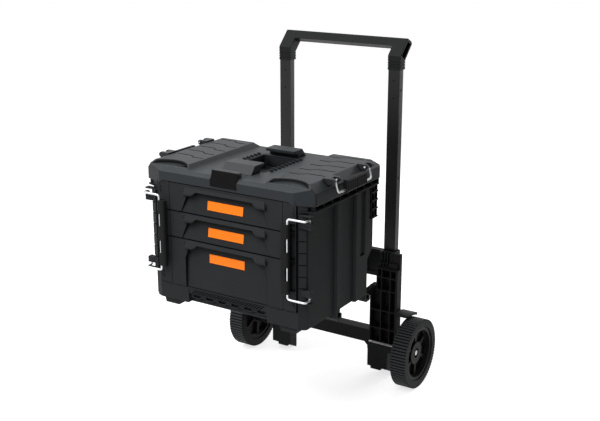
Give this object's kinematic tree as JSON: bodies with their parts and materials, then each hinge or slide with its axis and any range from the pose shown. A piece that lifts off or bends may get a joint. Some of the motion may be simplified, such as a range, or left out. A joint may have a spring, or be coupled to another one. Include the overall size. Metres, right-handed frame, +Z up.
{
  "type": "rolling tool storage box",
  "caption": "Moulded drawer tool box with a stacking lid and wire locks, carried on a two-wheel trolley with a telescopic pull handle.",
  "frame": {"origin": "on the floor under the middle of the whole object's plan", "axes": "+X to the object's right seen from the front, +Y from the drawers towards the pull handle, +Z up"},
  "size_m": [0.668, 0.7128, 1.0945],
  "materials": {
    "charcoal_plastic": "fine moulded grain",
    "lid_plastic": "fine moulded grain, slightly lighter",
    "black_plastic": "moulded black",
    "badge_black": "smooth and bare",
    "label_orange": "smooth orange plate",
    "bright_wire": "bright zinc plate",
    "plated_steel": "zinc plate",
    "tube_paint": "satin black powder coat",
    "carrier_aluminium": "black coated",
    "tyre_rubber": "matte, ribbed tread",
    "hub_plastic": "moulded black",
    "bush_plastic": "natural bearing plastic"
  },
  "bodies": {
    "cart": {"left_tower": "black_plastic", "right_tower": "black_plastic", "left_foot": "black_plastic", "right_foot": "black_plastic", "left_wheel_guard": "black_plastic", "right_wheel_guard": "black_plastic", "upper_cross_member": "black_plastic", "lower_cross_beam": "black_plastic", "load_carrier": "carrier_aluminium", "carrier_bolts": "plated_steel", "left_axle": "plated_steel", "right_axle": "plated_steel", "axle_washers": "plated_steel", "axle_nuts": "plated_steel"},
    "handle": {"left_handle_tube": "tube_paint", "right_handle_tube": "tube_paint", "handle_grip": "black_plastic"},
    "left_wheel": {"left_tyre": "tyre_rubber", "left_hub": "hub_plastic", "left_wheel_bush": "bush_plastic"},
    "right_wheel": {"right_tyre": "tyre_rubber", "right_hub": "hub_plastic", "right_wheel_bush": "bush_plastic"},
    "box": {"body_shell": "charcoal_plastic", "drawer_cage": "charcoal_plastic", "sill_grille": "charcoal_plastic", "box_feet": "charcoal_plastic", "frame_screws": "plated_steel", "left_side_ribs": "charcoal_plastic", "right_side_ribs": "charcoal_plastic", "left_lock_brackets": "charcoal_plastic", "right_lock_brackets": "charcoal_plastic", "lid": "lid_plastic", "grip_plates": "lid_plastic", "well_ribs": "lid_plastic", "badge_plate": "badge_black", "stack_brackets": "lid_plastic", "outer_rails": "plated_steel"},
    "left_lock": {"left_lock_wire": "bright_wire", "left_lock_sleeve": "black_plastic"},
    "right_lock": {"right_lock_wire": "bright_wire", "right_lock_sleeve": "black_plastic"},
    "left_stack_latch": {"left_stack_wire": "bright_wire", "left_stack_paddle": "black_plastic"},
    "right_stack_latch": {"right_stack_wire": "bright_wire", "right_stack_paddle": "black_plastic"},
    "drawer_top": {"drawer_front_top": "charcoal_plastic", "drawer_label_top": "label_orange", "drawer_tray_top": "charcoal_plastic", "drawer_rails_top": "plated_steel"},
    "drawer_middle": {"drawer_front_middle": "charcoal_plastic", "drawer_label_middle": "label_orange", "drawer_tray_middle": "charcoal_plastic", "drawer_rails_middle": "plated_steel"},
    "drawer_bottom": {"drawer_front_bottom": "charcoal_plastic", "drawer_label_bottom": "label_orange", "drawer_tray_bottom": "charcoal_plastic", "drawer_rails_bottom": "plated_steel"}
  },
  "joints": [
    {"name": "handle_slide", "type": "slide", "parent": "cart", "child": "handle", "axis": [0, 0, 1], "range_m": [-0.28, 0]},
    {"name": "left_wheel_spin", "type": "hinge", "parent": "cart", "child": "left_wheel", "pos_m": [-0.308, 0.24405, 0.11236], "axis": [1, 0, 0], "continuous": true},
    {"name": "right_wheel_spin", "type": "hinge", "parent": "cart", "child": "right_wheel", "pos_m": [0.308, 0.24405, 0.11236], "axis": [1, 0, 0], "continuous": true},
    {"name": "box_lift", "type": "slide", "parent": "cart", "child": "box", "axis": [0, 0, 1], "range_m": [0, 0.15]},
    {"name": "drawer_top_slide", "type": "slide", "parent": "box", "child": "drawer_top", "axis": [0, -1, 0], "range_m": [0, 0.26]},
    {"name": "drawer_middle_slide", "type": "slide", "parent": "box", "child": "drawer_middle", "axis": [0, -1, 0], "range_m": [0, 0.26]},
    {"name": "drawer_bottom_slide", "type": "slide", "parent": "box", "child": "drawer_bottom", "axis": [0, -1, 0], "range_m": [0, 0.26]},
    {"name": "left_lock_swing", "type": "hinge", "parent": "box", "child": "left_lock", "pos_m": [-0.271, -0.32595, 0.5865], "axis": [0, 0, -1], "range_deg": [0, 150]},
    {"name": "left_stack_swing", "type": "hinge", "parent": "box", "child": "left_stack_latch", "pos_m": [-0.288, -0.13595, 0.786], "axis": [0, 1, 0], "range_deg": [0, 140]},
    {"name": "right_lock_swing", "type": "hinge", "parent": "box", "child": "right_lock", "pos_m": [0.271, -0.32595, 0.5865], "axis": [0, 0, 1], "range_deg": [0, 150]},
    {"name": "right_stack_swing", "type": "hinge", "parent": "box", "child": "right_stack_latch", "pos_m": [0.288, -0.13595, 0.786], "axis": [0, -1, 0], "range_deg": [0, 140]}
  ]
}
